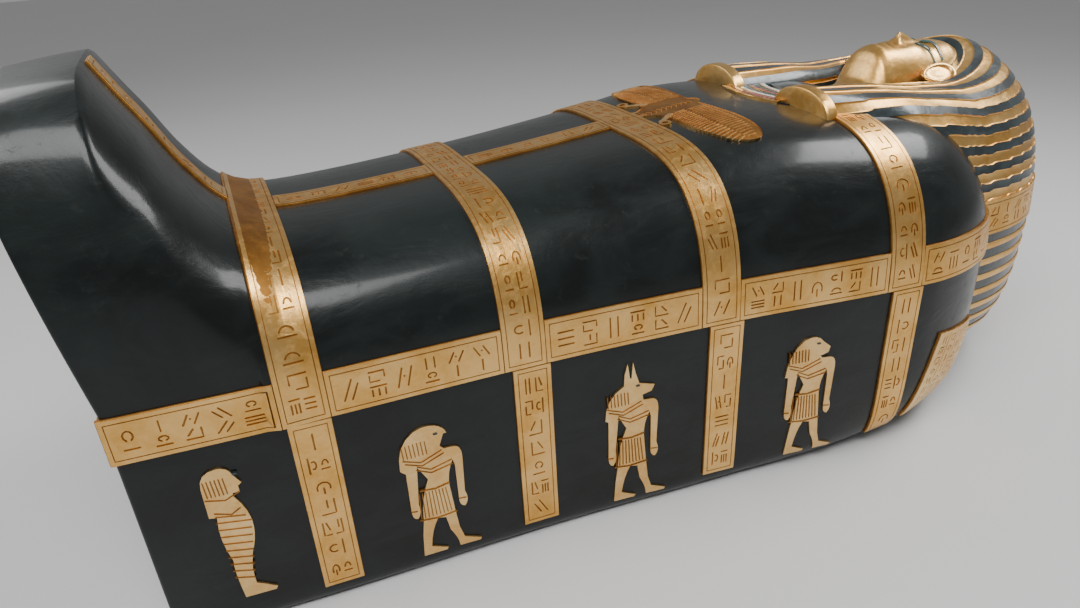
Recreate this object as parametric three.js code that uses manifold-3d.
// Anthropoid coffin: black-varnished wood with gilded bands, a hollow trough under a hollow lid.
// The lid carries a striped wig, a face, a winged vulture and bands; the trough carries text columns
// and four standing figures a side. Millimetres, +Z up. +X runs from the feet to the crown of the
// head and Y = 0 is the plane of symmetry. Stations are measured headward from the foot end of the
// joint, and the meshes are then shifted so that the whole coffin is centred on the origin.
import * as THREE from 'three';
import { mergeVertices } from 'three/addons/utils/BufferGeometryUtils.js';
import Module from 'manifold-3d';

const wasm = await Module();
wasm.setup();

// ---- driving dimensions ----
const BODY_END = 2750; // foot end of the joint to the crown of the head
const TOE_LEAN = 80; // the lid's foot end leans out by this much at the toes
const JOINT = 510; // height of the trough's rim
const GAP = 0.3; // between the rims of trough and lid
const WALL = 55; // planks of the walls, the lid's vault and the floor
const CUT = 5; // a hollow's cutter passes the rim by this much
const FLATTEN = 4; // planed off the trough's underside, so that it stands flat
const BAND = 102; // width of the lid's cross bands
const RIM_BAND = 108; // height of the gilded band along the lid's rim
const COLUMN = 93; // width of the trough's text columns
const SPINE = 74; // width of the band along the lid's middle
const SPINE_RUN = [122, 1415]; // stations of its ends, at the toes and under the vulture's tail
const RELIEF = 7; // how far bands stand proud of the varnish
const STRIPE_RELIEF = 4; // how far the wig's gold stripes stand proud
const LID_BANDS = [370, 860, 1360, 1876]; // stations of the lid's cross bands
const TROUGH_COLUMNS = [374, 874, 1378, 1890]; // stations of the trough's columns

const SHOULDER = { station: 1980, across: 330, long: 360, wide: 250 }; // ellipse of the shoulder
const HEAD = { station: 2300, long: 450, wide: 427, roundness: 2.5 }; // plan of the head's end
const CROWN_HEIGHT = 495; // top of the wig above the joint
const LAPPET_START = 1830; // station where the wig's lappets end on the chest
const CAP = { across: 198, half: 113, low: 896, rise: 74, thick: 30, bury: 60 }; // plate ending a lappet
const FACE = { chin: 2221, length: 295, level: 985 }; // chin to hairline
const EAR = { x: 2345, y: 158, z: 925, tilt: -38 };
const COLLAR = { station: 2100, radius: 345, half: 190, relief: 5 };
const VULTURE_RELIEF = 6;

// ---- small tools ----

// A smooth monotone curve through a few knots [x, y], flat beyond its ends.
function curveThrough(knots) {
  const last = knots.length - 1;
  const slope = knots.slice(1).map(([x, y], i) => (y - knots[i][1]) / (x - knots[i][0]));
  const tangent = knots.map((_, i) => {
    if (i === 0) return slope[0];
    if (i === last) return slope[last - 1];
    const product = slope[i - 1] * slope[i];
    return product <= 0 ? 0 : (2 * product) / (slope[i - 1] + slope[i]);
  });
  return (x) => {
    const at = THREE.MathUtils.clamp(x, knots[0][0], knots[last][0]);
    let i = 0;
    while (i < last - 1 && at > knots[i + 1][0]) i += 1;
    const width = knots[i + 1][0] - knots[i][0];
    const t = (at - knots[i][0]) / width;
    const rise = knots[i + 1][1] - knots[i][1];
    const cubic = t * t * (3 - 2 * t);
    const lead = t * (1 - t) * (1 - t) * width * tangent[i];
    const tail = t * t * (1 - t) * width * tangent[i + 1];
    return knots[i][1] + rise * cubic + lead - tail;
  };
}

// Quarter of the curve |out|^side + |up|^top = 1, as [out, up] at t from 0 (out) to 1 (up).
function superQuarter(t, side, top = side) {
  const angle = (t * Math.PI) / 2;
  return [Math.cos(angle) ** (2 / side), Math.sin(angle) ** (2 / top)];
}

const range = (count) => Array.from({ length: count + 1 }, (_, i) => i / count);

// A closed solid through rings of equally many points, with flat ends.
function loft(rings) {
  const n = rings[0].length;
  const points = rings.flat();
  const positions = points.flatMap((v) => [v.x, v.y, v.z]);
  const index = [];
  for (let r = 0; r + 1 < rings.length; r += 1) {
    for (let k = 0; k < n; k += 1) {
      const a = r * n + k;
      const b = r * n + ((k + 1) % n);
      const rising = points[a].distanceTo(points[b + n]);
      const falling = points[b].distanceTo(points[a + n]);
      if (rising <= falling) index.push(a, b, b + n, a, b + n, a + n);
      else index.push(a, b, a + n, b, b + n, a + n);
    }
  }
  for (const [ring, base] of [[rings[0], 0], [rings.at(-1), (rings.length - 1) * n]]) {
    const normal = new THREE.Vector3();
    ring.forEach((v, k) => normal.add(new THREE.Vector3().crossVectors(v, ring[(k + 1) % n])));
    const side = new THREE.Vector3().crossVectors(normal, new THREE.Vector3(0.31, 0.52, 0.79)).normalize();
    const up = new THREE.Vector3().crossVectors(normal, side).normalize();
    const flat = ring.map((v) => new THREE.Vector2(v.dot(side), v.dot(up)));
    for (const [a, b, c] of THREE.ShapeUtils.triangulateShape(flat, [])) {
      if (base === 0) index.push(base + a, base + c, base + b);
      else index.push(base + a, base + b, base + c);
    }
  }
  const geometry = new THREE.BufferGeometry();
  geometry.setAttribute('position', new THREE.Float32BufferAttribute(positions, 3));
  geometry.setIndex(index);
  return geometry;
}

// A three.js geometry as a manifold solid that faces out.
function solid(geometry) {
  const bare = new THREE.BufferGeometry();
  bare.setAttribute('position', geometry.getAttribute('position'));
  bare.setIndex(geometry.getIndex());
  const merged = mergeVertices(bare, 1e-3);
  const vertProperties = new Float32Array(merged.getAttribute('position').array);
  const corners = merged.getIndex().array;
  const whole = [];
  for (let i = 0; i < corners.length; i += 3) {
    const [a, b, c] = corners.slice(i, i + 3);
    if (a !== b && b !== c && c !== a) whole.push(a, b, c);
  }
  const triVerts = new Uint32Array(whole);
  const body = new wasm.Manifold(new wasm.Mesh({ numProp: 3, vertProperties, triVerts }));
  if (body.volume() > 0) return body;
  for (let i = 0; i < triVerts.length; i += 3) triVerts.subarray(i, i + 2).reverse();
  return new wasm.Manifold(new wasm.Mesh({ numProp: 3, vertProperties, triVerts }));
}

const join = (parts) => parts.reduce((all, part) => all.add(part));

// A box from low to high corners.
function block(low, high) {
  const size = high.map((v, i) => v - low[i]);
  const box = new THREE.BoxGeometry(...size);
  box.translate(...low.map((v, i) => v + size[i] / 2));
  return solid(box);
}

// The same outline on both sides of the plane of symmetry.
const bothSides = (body) => body.add(body.mirror([0, 1, 0]));

// ---- the coffin's body ----

const bodyLine = curveThrough([[0, 412], [370, 439], [860, 458], [1360, 500], [1876, 571], [1980, 580]]);
const topLine = curveThrough([
  [118, 716], [164, 629], [190, 583], [245, 474], [305, 391], [370, 344],
  [480, 336], [860, 351], [1360, 391], [1615, 415], [1876, 403], [1980, 400],
]);
const vaultTop = curveThrough([[0, 690], [110, 716]]);
const archSide = curveThrough([[0, 3.6], [370, 3.7], [1876, 4.7]]);
const archTop = curveThrough([[0, 3], [370, 2.9], [1876, 2.1]]);
const bottomCorner = curveThrough([[0, 30], [1200, 28], [1500, 20], [1890, 9], [2100, 5.5], [2340, 4.5]]);
const scoopSpread = curveThrough([[200, 0.046], [370, 0]]); // the instep's arch is wider than the walls
const vaultSpread = curveThrough([[300, 0], [400, 40]]); // beyond the foot the vault stands clear

// 1 along the body, falling to 0 round the shoulder's ellipse.
function shoulderFall(station) {
  const along = Math.max(0, (station - SHOULDER.station) / SHOULDER.long);
  return Math.sqrt(Math.max(0, 1 - along * along));
}

function halfWidth(station) {
  if (station <= SHOULDER.station) return bodyLine(station);
  return SHOULDER.across + SHOULDER.wide * shoulderFall(station);
}

// The lid's arch at a station, from shins to shoulders and up the instep to the toes: its half width,
// height above the joint, and exponents at the sides and at the top.
function archAt(station, grow) {
  const half = (halfWidth(station) + grow) * (1 + scoopSpread(station));
  const height = topLine(station) * shoulderFall(station) ** 0.9 + grow;
  return [half, height, archSide(station), archTop(station)];
}

// The foot block's vault, which the instep's arch cuts along a sharp arris. Past the foot it stands
// clear of the body.
function vaultAt(station, grow) {
  const half = halfWidth(Math.min(station, VAULT_END)) + vaultSpread(station) + grow;
  return [station > VAULT_END ? 2 * half : half, vaultTop(station) + grow, 4.6, 3];
}

// The foot end leans out above the rim band.
function lean(station, z) {
  const up = Math.max(0, (z - JOINT - RIM_BAND) / (vaultTop(0) - RIM_BAND));
  return TOE_LEAN * up * Math.max(0, 1 - station / 110);
}

const ARCH_STATIONS = [
  0, 118, 138, 165, 200, 240, 285, 330, 370, 440, 860, 1360, 1615, 1876,
  1980, 2060, 2130, 2185, 2230, 2270, 2302, 2328,
];
const VAULT_END = 400;
const VAULT_STATIONS = [0, 60, 118, 200, 300, VAULT_END, VAULT_END + 1, 2400];
const HOLLOW_STATIONS = [0, 118, 165, 240, 370, 860, 1360, 1876, 2060, 2185, 2270];
const TROUGH_STATIONS = [0, 370, 860, 1360, 1640, 1890, 1980, 2060, 2130, 2185, 2230, 2270, 2302];

// A solid under arches, one at each station, standing on the joint.
function arches(stations, archOf, grow, facets) {
  const floor = JOINT + (grow < 0 ? -CUT : GAP);
  const rings = stations.map((station) => {
    const [half, height, side, top] = archOf(station, grow);
    const end = station === 0 ? station - grow : station;
    return range(facets).map((t) => {
      const [out, up] = superQuarter(Math.min(2 * t, 2 - 2 * t), side, top);
      const z = JOINT + height * up;
      const y = t < 0.5 ? -half * out : half * out;
      return new THREE.Vector3(end - lean(station, z), y, Math.max(z, floor));
    });
  });
  return solid(loft(rings));
}

// The lid's body, grown or (with a negative grow) shrunk to its hollow.
function lidBody(grow) {
  const [stations, facets] = grow < 0 ? [HOLLOW_STATIONS, 10] : [ARCH_STATIONS, 18];
  const vault = arches(VAULT_STATIONS, vaultAt, grow, facets);
  return arches(stations, archAt, grow, facets).intersect(vault);
}

// The trough's body: a box-like section whose bottom corners round off toward the shoulders.
function troughBody(grow) {
  const steps = grow < 0 ? [0.7, 0.9, 1] : [0.45, 0.75, 0.87, 0.94, 1];
  const rings = TROUGH_STATIONS.map((station) => {
    const w = halfWidth(station) + grow;
    const depth = JOINT + grow;
    const corner = bottomCorner(station);
    const half = steps.map((t) => {
      const [out, down] = superQuarter(t, corner);
      return [w * out, Math.max(-grow, JOINT - (depth + FLATTEN) * down)];
    });
    half.unshift([w, JOINT + (grow < 0 ? CUT : 0)]);
    const ends = station === 0 ? -grow : 0;
    const near = half.map(([y, z]) => new THREE.Vector3(station + ends, -y, z));
    const far = half.slice(0, -1).reverse().map(([y, z]) => new THREE.Vector3(station + ends, y, z));
    return [...near, ...far];
  });
  return solid(loft(rings));
}

// ---- the head end ----

// Half of the head's outline, y >= 0, from the body round to the crown; round is how many steps the
// end takes. Each entry is [x, y].
function headOutline(grow, round, straight) {
  const side = straight.map((x) => [x, headSide(x) + grow]);
  const end = range(round).slice(1).map((t) => {
    const [across, along] = superQuarter(t, HEAD.roundness);
    return [HEAD.station + (HEAD.long + grow) * along, (HEAD.wide + grow) * across];
  });
  return [...side, ...end];
}

const headSide = curveThrough([[1830, 318], [1900, 348], [1970, 377], [2060, 420], [2140, 427]]);

// A stack of head outlines: levels holds [fraction of full size, z].
function headStack(grow, levels) {
  const half = headOutline(grow, 6, [1960, 2140, HEAD.station]);
  const rings = levels.map(([fraction, z]) => {
    const far = half.map(([x, y]) => {
      const past = Math.max(0, x - HEAD.station);
      return new THREE.Vector3(x - past + past * fraction, y * fraction, z);
    });
    const near = far.slice(0, -1).reverse().map((v) => new THREE.Vector3(v.x, -v.y, z));
    return [...far, ...near];
  });
  return solid(loft(rings));
}

// The trough's head end, rounded under like a hull.
function troughHead(grow) {
  const top = grow < 0 ? [[1, JOINT + CUT]] : [];
  const levels = range(grow < 0 ? 3 : 5).map((t) => {
    const [out, down] = superQuarter(t * 0.86, 3.4);
    return [out, JOINT - (JOINT + grow) * down];
  });
  return headStack(grow, [...top, ...levels]);
}

// The hollow in the lid's head.
function lidHeadHollow() {
  const levels = range(4).map((t) => {
    const [out, up] = superQuarter(t * 0.8, 2.4);
    return [out, JOINT + (CROWN_HEIGHT - 3.5 * WALL) * up];
  });
  return headStack(-WALL, [[1, JOINT - CUT], ...levels]);
}

// The wig is a horseshoe: stations run from a lappet's end, past the face, to the crown. Each has an
// outer foot on the joint, a crest and an inner edge along the chest, the face and the hairline.
const lappetInner = curveThrough([[1830, 92], [2040, 98], [2120, 106], [2200, 122], [2300, 152]]);
const lappetCrest = curveThrough([[1830, 195], [1960, 185], [2120, 160], [2220, 168], [2300, 196]]);
const crestHeight = curveThrough([[1830, 963], [2050, 944], [2200, 925], [2300, 922]]);
const innerHeight = curveThrough([[1830, 898], [2040, 892], [2200, 884], [2300, 884]]);
const outerSquareness = curveThrough([[1830, 4], [2180, 3.8], [2300, 3]]);

function lappetStation(x) {
  return {
    outer: [x, headSide(x)],
    crest: [x, lappetCrest(x), crestHeight(x)],
    inner: [x, lappetInner(x), innerHeight(x)],
    squareness: outerSquareness(x),
  };
}

// turn runs from 0 beside the face to 1 at the crown.
function crownStation(turn) {
  const ease = turn * turn * (3 - 2 * turn);
  const [across, along] = superQuarter(turn, HEAD.roundness);
  const [roundAcross, roundAlong] = superQuarter(turn, 2);
  return {
    outer: [HEAD.station + HEAD.long * along, HEAD.wide * across],
    crest: [HEAD.station + 265 * roundAlong, 196 * roundAcross, 922 + 76 * ease],
    inner: [HEAD.station + 216 * roundAlong, 152 * roundAcross, 884 + 84 * ease],
    squareness: 3 - 1.05 * Math.sqrt(ease),
  };
}

const OVER = 12; // steps from the inner edge to the crest
const mix = THREE.MathUtils.lerp;

// Fine points of a wig section from the inner edge over the crest to the outer foot.
function wigSection({ outer, crest, inner, squareness }) {
  const over = range(OVER).map((t) => {
    const [level, out] = superQuarter(t, 2);
    return new THREE.Vector3(
      mix(crest[0], inner[0], level), mix(crest[1], inner[1], level), mix(inner[2], crest[2], out),
    );
  });
  const down = range(40).slice(1).map((t) => {
    const [out, up] = superQuarter(1 - t, squareness);
    return new THREE.Vector3(
      mix(crest[0], outer[0], out), mix(crest[1], outer[1], out), mix(JOINT + GAP, crest[2], up),
    );
  });
  return [...over, ...down];
}

// The point at a distance along a polyline.
function along(points, lengths, distance) {
  let i = 1;
  while (i < points.length - 1 && lengths[i] < distance) i += 1;
  const t = (distance - lengths[i - 1]) / (lengths[i] - lengths[i - 1]);
  return points[i - 1].clone().lerp(points[i], THREE.MathUtils.clamp(t, 0, 1));
}

const STRIPES = 9; // gold stripes between the hairline and the rim band
const EDGE = 10; // gold edging round the face
const FIRST_DARK = 32;
const GOLD = 30;
const DARK = 24;
const STRIPE_RUN = EDGE + FIRST_DARK + STRIPES * GOLD + (STRIPES - 1) * DARK;

// Rows of the wig's surface as [distance in the stripe run, how far it stands proud].
function wigRows() {
  const rows = [[0, STRIPE_RELIEF], [EDGE, STRIPE_RELIEF], [EDGE, 0]];
  for (let i = 0; i < STRIPES; i += 1) {
    const from = EDGE + FIRST_DARK + i * (GOLD + DARK);
    rows.push([from, 0], [from, STRIPE_RELIEF], [from + GOLD, STRIPE_RELIEF]);
    if (i < STRIPES - 1) rows.push([from + GOLD, 0]);
  }
  return rows;
}

// One section of the wig, stripes and all, on one side; its last gold stripe meets the rim band.
function wigRing(station, side) {
  const { outer, crest, inner } = station;
  const points = wigSection(station);
  const lengths = [0];
  points.slice(1).forEach((p, i) => lengths.push(lengths[i] + p.distanceTo(points[i])));
  const run = lengths[points.findIndex((p, i) => i > OVER && p.z < JOINT + RIM_BAND)];
  const inside = new THREE.Vector3(
    crest[0] * 0.6 + outer[0] * 0.4, (inner[1] + outer[1]) / 2, (JOINT + crest[2]) / 2,
  );
  const acrossWig = new THREE.Vector3(inner[1] - outer[1], outer[0] - inner[0], 0).normalize();
  const ring = wigRows().map(([distance, raised]) => {
    const at = (offset) => along(points, lengths, (distance / STRIPE_RUN) * run + offset);
    const normal = new THREE.Vector3().crossVectors(acrossWig, at(4).sub(at(-4))).normalize();
    const foot = at(0);
    if (normal.dot(foot.clone().sub(inside)) < 0) normal.negate();
    return foot.addScaledVector(normal, raised);
  });
  const ends = [inner, outer].map(([x, y]) => new THREE.Vector3(x, y, JOINT + GAP));
  return [ends[0], ...ring, ends[1]].map((v) => new THREE.Vector3(v.x, v.y * side, v.z));
}

const WIG_STRAIGHT = [LAPPET_START, 1950, 2080, 2200];
const WIG_TURNS = 6;

function wig() {
  const half = [
    ...WIG_STRAIGHT.map(lappetStation),
    ...range(WIG_TURNS).map(crownStation),
  ];
  const far = half.map((station) => wigRing(station, 1));
  const near = half.slice(0, -1).reverse().map((station) => wigRing(station, -1));
  return solid(loft([...far, ...near]));
}

// ---- the face ----

// Heights above the face's level along its middle, by fraction of the way from chin to hairline.
const skull = curveThrough([
  [-0.62, -92], [-0.3, -88], [-0.18, -74], [-0.08, -22], [-0.02, 6], [0.06, 16], [0.5, 15], [0.85, 12],
  [1, -8], [1.15, -45],
]);
const noseHeight = curveThrough([[0.29, 0], [0.345, 20], [0.375, 33], [0.5, 20], [0.62, 3], [0.66, 0]]);
const noseWidth = curveThrough([[0.3, 17], [0.37, 13], [0.5, 9], [0.66, 8]]);
const faceWidth = curveThrough([[-0.6, 118], [-0.1, 104], [0.05, 100], [0.4, 122], [0.7, 126], [1.1, 120]]);
const faceEdge = curveThrough([[-0.62, 122], [-0.35, 128], [0, 160], [0.35, 188], [1.15, 190]]);

const bump = (x, y, wide, high) => Math.exp(-(x * x) / (wide * wide) - (y * y) / (high * high));

function faceHeight(x, y) {
  const t = (x - FACE.chin) / FACE.length;
  const across = Math.abs(y);
  const side = across / faceWidth(t);
  const jaw = 96 * Math.min(side, 1.6) ** 3.4;
  const nose = noseHeight(t) * Math.exp(-((across / noseWidth(t)) ** 2));
  const lips = 8 * (bump(x - thirds(0.165), y, 7, 24) + bump(x - thirds(0.235), y, 7, 27));
  const chin = 8 * bump(x - thirds(0.05), y, 16, 22);
  const cheek = 6 * bump(x - thirds(0.42), across - 62, 34, 30);
  const socket = -11 * bump(x - thirds(0.57), across - 47, 17, 30);
  const eye = 8 * bump(x - thirds(0.56), across - 47, 8, 19);
  const brow = 4 * bump(x - thirds(0.68), across - 48, 8, 36);
  return FACE.level + skull(t) - jaw + nose + lips + chin + cheek + socket + eye + brow;
}

const thirds = (t) => FACE.chin + t * FACE.length;

function face() {
  const stations = [
    -0.62, -0.3, -0.18, -0.1, -0.03, 0.05, 0.165, 0.2, 0.235, 0.3,
    0.345, 0.375, 0.48, 0.56, 0.63, 0.69, 0.85, 1, 1.12,
  ];
  const half = [0, 10, 24, 46, 70, 92, 114, 144];
  const rings = stations.map((t) => {
    const x = thirds(t);
    const widest = faceEdge(t) / half.at(-1);
    const spread = half.map((y) => y * widest ** (y / half.at(-1)));
    const ys = [...spread.slice(1).reverse().map((y) => -y), ...spread];
    const top = ys.map((y) => new THREE.Vector3(x, y, Math.max(faceHeight(x, y), FACE.level - 190)));
    const base = [ys.at(-1), ys[0]].map((y) => new THREE.Vector3(x, y, JOINT + GAP));
    return [...top, ...base];
  });
  return solid(loft(rings));
}

// An ear, laid against the wig with its lobe toward the shoulder.
function ear() {
  const outline = new THREE.Shape();
  outline.moveTo(-70, -8);
  outline.quadraticCurveTo(-82, 8, -66, 20);
  outline.quadraticCurveTo(-20, 26, 10, 40);
  outline.quadraticCurveTo(56, 52, 76, 22);
  outline.quadraticCurveTo(84, -12, 50, -26);
  outline.quadraticCurveTo(0, -36, -70, -8);
  const hollow = new THREE.Path();
  hollow.absellipse(22, 6, 36, 18, 0, Math.PI * 2, false, 0.2);
  outline.holes.push(hollow);
  const rim = new THREE.ExtrudeGeometry(outline, { depth: 16, bevelEnabled: false, curveSegments: 4 });
  const bed = new THREE.SphereGeometry(1, 10, 6).scale(64, 32, 14);
  const place = new THREE.Matrix4().makeRotationX(THREE.MathUtils.degToRad(EAR.tilt));
  place.setPosition(EAR.x, EAR.y, EAR.z);
  return join([rim, bed].map((shape) => solid(shape.applyMatrix4(place))));
}


// ---- gilding on the lid ----

// A gold half-round plate that ends each lappet.
function lappetCap() {
  const rings = [LAPPET_START - CAP.thick, LAPPET_START + RELIEF].map((x) => {
    const low = CAP.low - CAP.bury;
    const arc = range(10).map((t) => {
      const angle = t * Math.PI;
      return new THREE.Vector3(
        x, CAP.across - CAP.half * Math.cos(angle), CAP.low + CAP.rise * Math.sin(angle) ** 0.9,
      );
    });
    const corner = (side) => new THREE.Vector3(x, CAP.across + side * CAP.half, low);
    return [corner(-1), ...arc, corner(1)];
  });
  return solid(loft(rings));
}

// An upright prism; segments is how many facets each curved step of its outline takes.
function prism(shape, segments = 5) {
  return new THREE.ExtrudeGeometry(shape, { depth: 1200, bevelEnabled: false, curveSegments: segments });
}

// A vulture seen from above, wings spread across the chest; x is headward, y to the side.
function vultureShape() {
  const half = [
    [1408, 20], [1440, 34], [1462, 60], [1456, 190], [1484, 282], [1520, 326], [1560, 340], [1586, 330],
    [1602, 262], [1592, 60], [1586, 24], [1606, 16], [1610, 0],
  ];
  const shape = new THREE.Shape(half.map(([x, y]) => new THREE.Vector2(x, y)));
  half.slice(0, -1).reverse().forEach(([x, y]) => shape.lineTo(x, -y));
  return shape;
}

// A leg of the vulture, and the ring that its claws hold.
function clawShapes() {
  const leg = outline([[1474, 56], [1436, 90], [1424, 92], [1422, 104], [1442, 104], [1488, 70]]);
  const ring = new THREE.Shape().absarc(1430, 118, 17, 0, Math.PI * 2, false);
  ring.holes.push(new THREE.Path().absarc(1430, 118, 8, 0, Math.PI * 2, true));
  return [leg, ring];
}

function lidGilding(grown) {
  const inside = (region) => grown.intersect(region);
  const tall = 1400;
  const far = 700;
  const rim = block([-300, -far, JOINT], [BODY_END + 50, far, JOINT + RIM_BAND]);
  const hoop = (x, from) => block([x - BAND / 2, from, JOINT], [x + BAND / 2, far, tall]);
  const hoops = LID_BANDS.slice(0, -1).map((x) => hoop(x, -far));
  const straps = bothSides(hoop(LID_BANDS.at(-1), CAP.across));
  const spine = block([SPINE_RUN[0], -SPINE / 2, 780], [SPINE_RUN[1], SPINE / 2, tall]);
  return inside(join([rim, ...hoops, straps, spine]));
}

function lid() {
  const shell = join([lidBody(0), wig(), face(), bothSides(ear()), bothSides(lappetCap())]);
  const bands = lidGilding(lidBody(RELIEF));
  const headBand = headStack(RELIEF, [[1, JOINT + GAP], [0.985, JOINT + RIM_BAND]]);
  const disc = new THREE.CylinderGeometry(COLLAR.radius, COLLAR.radius, 900, 40);
  disc.rotateX(Math.PI / 2).translate(COLLAR.station, 0, 1100);
  const between = block([1700, -COLLAR.half, 800], [2060, COLLAR.half, 1000]);
  const collar = lidBody(COLLAR.relief).intersect(solid(disc)).intersect(between);
  const bird = join([vultureShape(), ...clawShapes()].map((shape) => (
    solid(prism(shape).translate(0, 0, 800))
  )));
  const vulture = lidBody(VULTURE_RELIEF).intersect(bothSides(bird));
  const hollow = lidBody(-WALL).add(lidHeadHollow());
  const floor = block([-400, -900, 0], [BODY_END + 400, 900, JOINT + GAP]);
  return join([shell, bands, headBand, collar, vulture]).subtract(hollow).subtract(floor);
}

// ---- the trough ----

// A figure's outline from steps: [x, z] is a straight step, [cx, cz, x, z] a curved one.
function outline(steps) {
  const shape = new THREE.Shape();
  shape.moveTo(...steps[0]);
  for (const step of steps.slice(1)) {
    if (step.length === 2) shape.lineTo(...step);
    else shape.quadraticCurveTo(...step);
  }
  return shape;
}

// Figures face the head. x is measured from a figure's middle and z from its soles.
const WRAPPED_FIGURE = [
  [-36, 250], [-51, 253], [-50, 330], [-49, 373, -10, 373], [12, 372, 18, 348], [30, 326], [22, 320],
  [22, 304], [8, 304], [7, 296], [33, 250, 30, 205], [27, 168, 14, 138], [0, 90, 3, 46], [44, 20],
  [40, 12], [-27, 12], [-35, 95, -30, 125], [-46, 190, -36, 250],
];
const FALCON_HEAD = [
  [-70, 274], [-72, 345, -30, 370], [-4, 384, 22, 374], [41, 366, 47, 347], [39, 347], [27, 316],
];
const JACKAL_HEAD = [
  [-66, 268], [-66, 335, -16, 358], [-14, 390], [-6, 420], [0, 378], [4, 376], [8, 422], [16, 386], [25, 358],
  [66, 345], [58, 328], [34, 322],
];
const APE_HEAD = [[-67, 264], [-62, 340, -20, 368], [15, 384, 36, 354], [56, 337], [52, 320], [30, 313]];
// Shoulders, hanging arms, kilt and striding legs, from the neck round to the back of the wig.
const STRIDING_BODY = [
  [36, 306], [62, 304], [77, 300, 77, 272], [73, 168], [84, 140, 70, 124], [56, 126, 57, 152], [57, 252],
  [53, 268], [37, 236, 38, 200], [45, 112], [50, 62], [60, 28], [102, 9], [98, 3], [46, 5], [45, 30, 27, 64],
  [20, 106], [0, 110], [-18, 80, -24, 30], [16, 11], [12, 5], [-45, 6], [-41, 66], [-34, 118],
  [-32, 180, -10, 232], [-31, 273], [-40, 168], [-34, 140, -46, 125], [-61, 126, -59, 160], [-58, 262],
];
const FIGURES = [
  { station: 185, sole: 76, steps: WRAPPED_FIGURE },
  { station: 612, sole: 45, steps: [...FALCON_HEAD, ...STRIDING_BODY] },
  { station: 1120, sole: 35, steps: [...JACKAL_HEAD, ...STRIDING_BODY] },
  { station: 1622, sole: 45, steps: [...APE_HEAD, ...STRIDING_BODY] },
];
const COLUMN_FOOT = 50;
// The text panel that wraps each shoulder: corners as [station, z].
const PANEL = [[1968, 70], [2128, 55], [2226, 315], [2036, 338]];
const HEAD_STRIPES = { count: 7, top: 470, pitch: 52, height: 18 };

// A prism across the coffin's near half, standing on an outline drawn in x and z.
function sidePrism(shape) {
  const body = prism(shape, 2);
  body.rotateX(Math.PI / 2);
  return body.translate(0, -200, 0);
}

function troughGilding() {
  const near = -900;
  const columns = TROUGH_COLUMNS.map((x) => block(
    [x - COLUMN / 2, near, COLUMN_FOOT], [x + COLUMN / 2, -200, JOINT],
  ));
  const figures = FIGURES.map(({ station, sole, steps }) => solid(
    sidePrism(outline(steps)).translate(station, 0, sole),
  ));
  const panel = solid(sidePrism(outline(PANEL)));
  return troughBody(RELIEF).intersect(bothSides(join([...columns, ...figures, panel])));
}

function troughStripes() {
  const { count, top, pitch, height } = HEAD_STRIPES;
  const slabs = range(count - 1).map((t) => {
    const low = top - t * (count - 1) * pitch - height / 2;
    return block([HEAD.station - 250, -700, low], [BODY_END + 50, 700, low + height]);
  });
  return troughHead(STRIPE_RELIEF).intersect(join(slabs));
}

function trough() {
  const shell = join([troughBody(0), troughHead(0), troughGilding(), troughStripes()]);
  return shell.subtract(troughBody(-WALL)).subtract(troughHead(-WALL));
}

// ---- the scene graph ----

function mesh(name, body, look) {
  const { vertProperties, triVerts } = body.getMesh();
  const geometry = new THREE.BufferGeometry();
  geometry.setAttribute('position', new THREE.BufferAttribute(vertProperties, 3));
  geometry.setIndex(new THREE.BufferAttribute(triVerts, 1));
  geometry.computeVertexNormals();
  const piece = new THREE.Mesh(geometry, new THREE.MeshStandardMaterial(look));
  piece.name = name;
  piece.position.x = (TOE_LEAN - BODY_END - RELIEF) / 2;
  return piece;
}

const group = new THREE.Group();
group.add(mesh('trough', trough(), { color: 0x0d1010, roughness: 0.32, metalness: 0 }));
group.add(mesh('lid', lid(), { color: 0x101414, roughness: 0.28, metalness: 0 }));
export default group;
